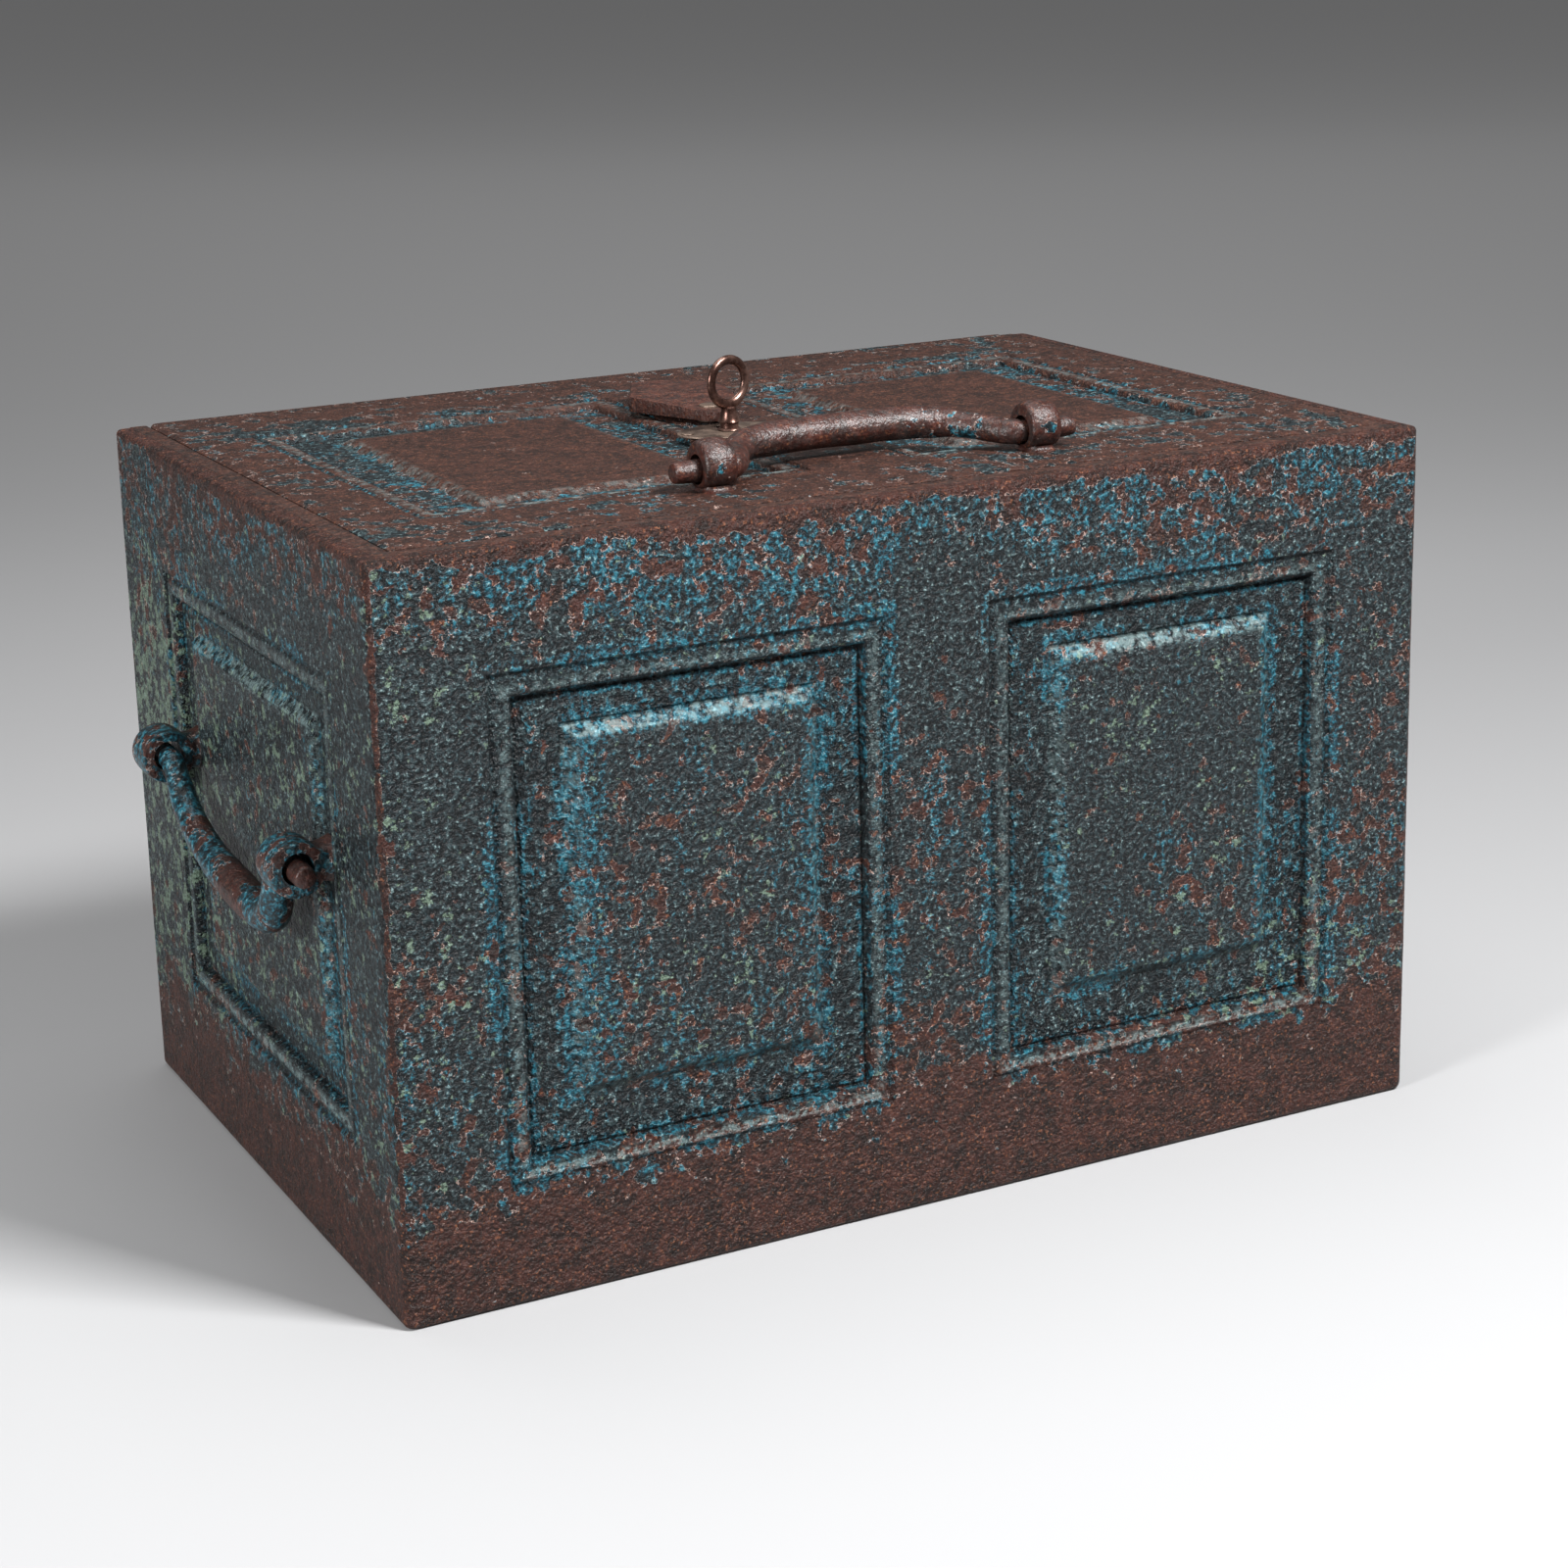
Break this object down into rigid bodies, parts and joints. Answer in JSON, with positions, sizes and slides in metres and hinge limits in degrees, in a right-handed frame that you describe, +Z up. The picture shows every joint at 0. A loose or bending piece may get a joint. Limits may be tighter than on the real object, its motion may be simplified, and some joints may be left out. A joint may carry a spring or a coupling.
{
  "type": "strongbox safe",
  "caption": "Heavy cast-iron strongbox safe with moulded panels, a hinged lid with keyhole cover and key, and swinging bail handles.",
  "frame": {"origin": "centre of the underside of the case, on the surface that it stands on", "axes": "+X to the right along the front, +Y towards the hinged back, +Z up"},
  "size_m": [0.553, 0.3505, 0.3531],
  "materials": {
    "case_paint": "worn flaking paint",
    "lid_iron": "worn satin",
    "forged_iron": "worn semi-gloss",
    "hinge_iron": "worn satin",
    "key_steel": "tarnished",
    "escutcheon_iron": "tarnished",
    "inside_iron": "matt",
    "lock_steel": "satin"
  },
  "bodies": {
    "case": {"front_plate": "case_paint", "back_plate": "case_paint", "left_plate": "case_paint", "right_plate": "case_paint", "base_plate": "inside_iron", "rim_frame": "lid_iron", "base_frame": "inside_iron", "front_left_angle": "inside_iron", "front_right_angle": "inside_iron", "rear_left_angle": "inside_iron", "rear_right_angle": "inside_iron", "angle_rivets": "inside_iron", "base_rivets": "inside_iron", "left_case_hinge_leaf": "hinge_iron", "right_case_hinge_leaf": "hinge_iron", "left_hinge_pin": "hinge_iron", "right_hinge_pin": "hinge_iron", "hinge_rivets": "hinge_iron", "left_keeper": "lock_steel", "right_keeper": "lock_steel", "left_front_eye": "forged_iron", "left_rear_eye": "forged_iron", "right_front_eye": "forged_iron", "right_rear_eye": "forged_iron", "side_eye_nuts": "lock_steel"},
    "lid": {"lid_plate": "lid_iron", "left_lid_hinge_leaf": "hinge_iron", "right_lid_hinge_leaf": "hinge_iron", "lid_left_eye": "forged_iron", "lid_right_eye": "forged_iron", "lid_eye_nuts": "lock_steel", "escutcheon_plate": "escutcheon_iron", "escutcheon_rivets": "escutcheon_iron", "cover_pivot": "escutcheon_iron", "lock_case": "lock_steel", "lock_cap": "lock_steel", "lock_screws": "lock_steel", "left_bolt_guide": "lock_steel", "right_bolt_guide": "lock_steel", "lever_post": "lock_steel"},
    "lid_bail": {"lid_bail": "forged_iron"},
    "left_bail": {"left_bail": "forged_iron"},
    "right_bail": {"right_bail": "forged_iron"},
    "keyhole_cover": {"keyhole_cover": "forged_iron"},
    "key": {"key": "key_steel"},
    "boltwork": {"lock_bolt": "lock_steel", "cross_bar": "lock_steel", "bolt_rivets": "lock_steel", "left_bolt": "lock_steel", "right_bolt": "lock_steel"},
    "levers": {"lever_1": "lock_steel", "lever_2": "lock_steel", "lever_3": "lock_steel", "lever_spring": "lock_steel"}
  },
  "joints": [
    {"name": "lid_hinge", "type": "hinge", "parent": "case", "child": "lid", "pos_m": [0, 0.176, 0.303], "axis": [-1, 0, 0], "range_deg": [0, 105]},
    {"name": "lid_bail_swing", "type": "hinge", "parent": "lid", "child": "lid_bail", "pos_m": [0, -0.119, 0.3263], "axis": [1, 0, 0], "range_deg": [0, 176]},
    {"name": "left_bail_swing", "type": "hinge", "parent": "case", "child": "left_bail", "pos_m": [-0.264, -0.014, 0.18315], "axis": [0, 0.9998, 0.0211], "range_deg": [-8, 180]},
    {"name": "right_bail_swing", "type": "hinge", "parent": "case", "child": "right_bail", "pos_m": [0.264, -0.014, 0.18315], "axis": [0, -0.9998, -0.0211], "range_deg": [-8, 180]},
    {"name": "cover_swing", "type": "hinge", "parent": "lid", "child": "keyhole_cover", "pos_m": [-0.0095, 0.024, 0.3225], "axis": [0, 0, 1], "range_deg": [-75, 0]},
    {"name": "key_turn", "type": "hinge", "parent": "lid", "child": "key", "pos_m": [-0.015, -0.007, 0.33], "axis": [0, 0, -1], "range_deg": [0, 90]},
    {"name": "bolt_throw", "type": "slide", "parent": "lid", "child": "boltwork", "axis": [0, -1, 0], "range_m": [0, 0.012]},
    {"name": "lever_lift", "type": "hinge", "parent": "lid", "child": "levers", "pos_m": [0.005, 0.033, 0.298], "axis": [0, 0, 1], "range_deg": [0, 3], "stiffness_Nm_per_rad": 0.1, "springref_deg": -5.73}
  ],
  "couplings": [
    {"joint": "key_turn", "follows": "bolt_throw", "rad_per_m": 130.8}
  ]
}
